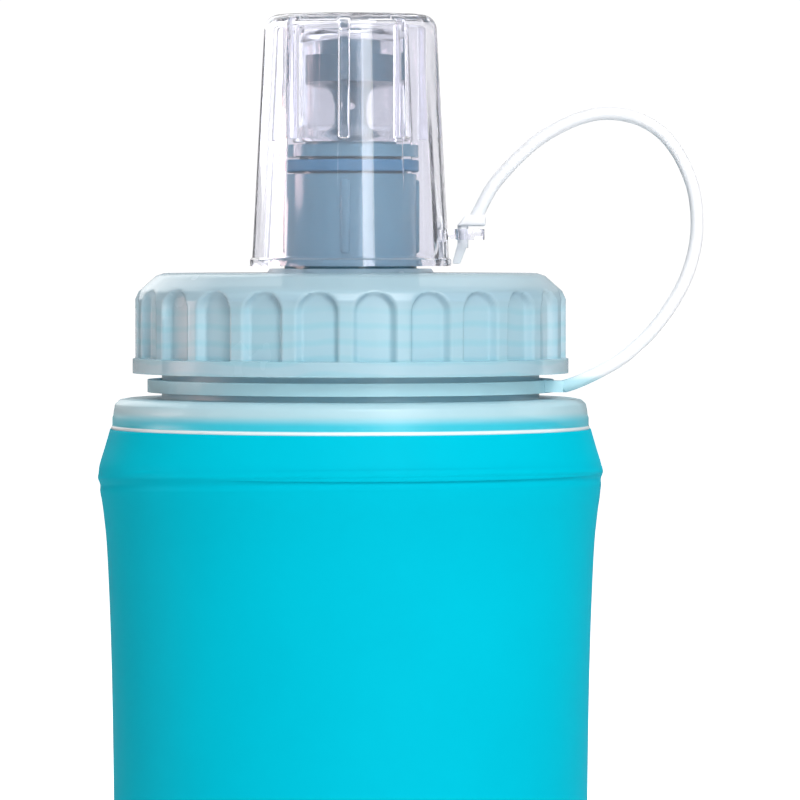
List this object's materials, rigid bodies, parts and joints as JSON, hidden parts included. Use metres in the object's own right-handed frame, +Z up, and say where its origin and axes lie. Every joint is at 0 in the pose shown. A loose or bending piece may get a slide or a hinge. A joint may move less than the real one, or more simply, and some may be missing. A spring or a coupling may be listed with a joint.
{
  "type": "folding water bottle",
  "caption": "Collapsible soft flask: soft film body on a moulded threaded collar, fluted screw cap, push-pull bite spout and a clear dust cover on a tether.",
  "frame": {"origin": "centre of the base, on the surface that the flask stands on", "axes": "+Z up along the flask's axis towards the spout, -Y towards the front, +X towards the tether's loop"},
  "size_m": [0.0672, 0.0562, 0.165],
  "materials": {
    "film_cyan": "soft cyan TPU film, satin, slightly see-through",
    "collar_tpu": "frosted, milky blue-grey moulded TPU",
    "cap_plastic": "pale blue-grey translucent polypropylene, semi-gloss",
    "spout_plastic": "smoky blue-grey translucent polypropylene",
    "seal_rubber": "blue-grey silicone rubber",
    "clear_silicone": "clear, slightly milky silicone",
    "clear_plastic": "clear glossy polypropylene",
    "tether_plastic": "frosted translucent plastic"
  },
  "bodies": {
    "flask": {"bladder_film": "film_cyan", "neck_collar": "collar_tpu", "base_disc": "film_cyan"},
    "gasket": {"cap_gasket": "seal_rubber"},
    "cap": {"screw_cap": "cap_plastic", "spout_post": "spout_plastic", "post_o_ring": "seal_rubber", "seat_ring": "seal_rubber"},
    "mouthpiece": {"spout_core": "spout_plastic", "spout_o_ring": "seal_rubber", "bite_sheath": "clear_silicone"},
    "tether": {"tether_ring": "tether_plastic", "tether_strap": "tether_plastic"},
    "cover": {"dust_cover": "clear_plastic", "strap_end": "tether_plastic"}
  },
  "joints": [
    {"name": "cap_lift", "type": "slide", "parent": "flask", "child": "gasket", "axis": [0, 0, 1], "range_m": [0, 0.009]},
    {"name": "cap_turn", "type": "hinge", "parent": "gasket", "child": "cap", "pos_m": [0, 0, 0.133], "axis": [0, 0, 1], "range_deg": [0, 900]},
    {"name": "mouthpiece_pull", "type": "slide", "parent": "cap", "child": "mouthpiece", "axis": [0, 0, 1], "range_m": [0, 0.0035]},
    {"name": "tether_turn", "type": "hinge", "parent": "gasket", "child": "tether", "pos_m": [0, 0, 0.1238], "axis": [0, 0, 1], "continuous": true},
    {"name": "cover_lift", "type": "slide", "parent": "tether", "child": "cover", "axis": [0, 0, 1], "range_m": [0, 0.036], "deforming": ["tether_strap"]}
  ],
  "couplings": [
    {"joint": "cap_lift", "follows": "cap_turn", "m_per_rad": 0.00057296},
    {"joint": "mouthpiece_pull", "follows": "cover_lift", "ratio": 0.097222}
  ]
}
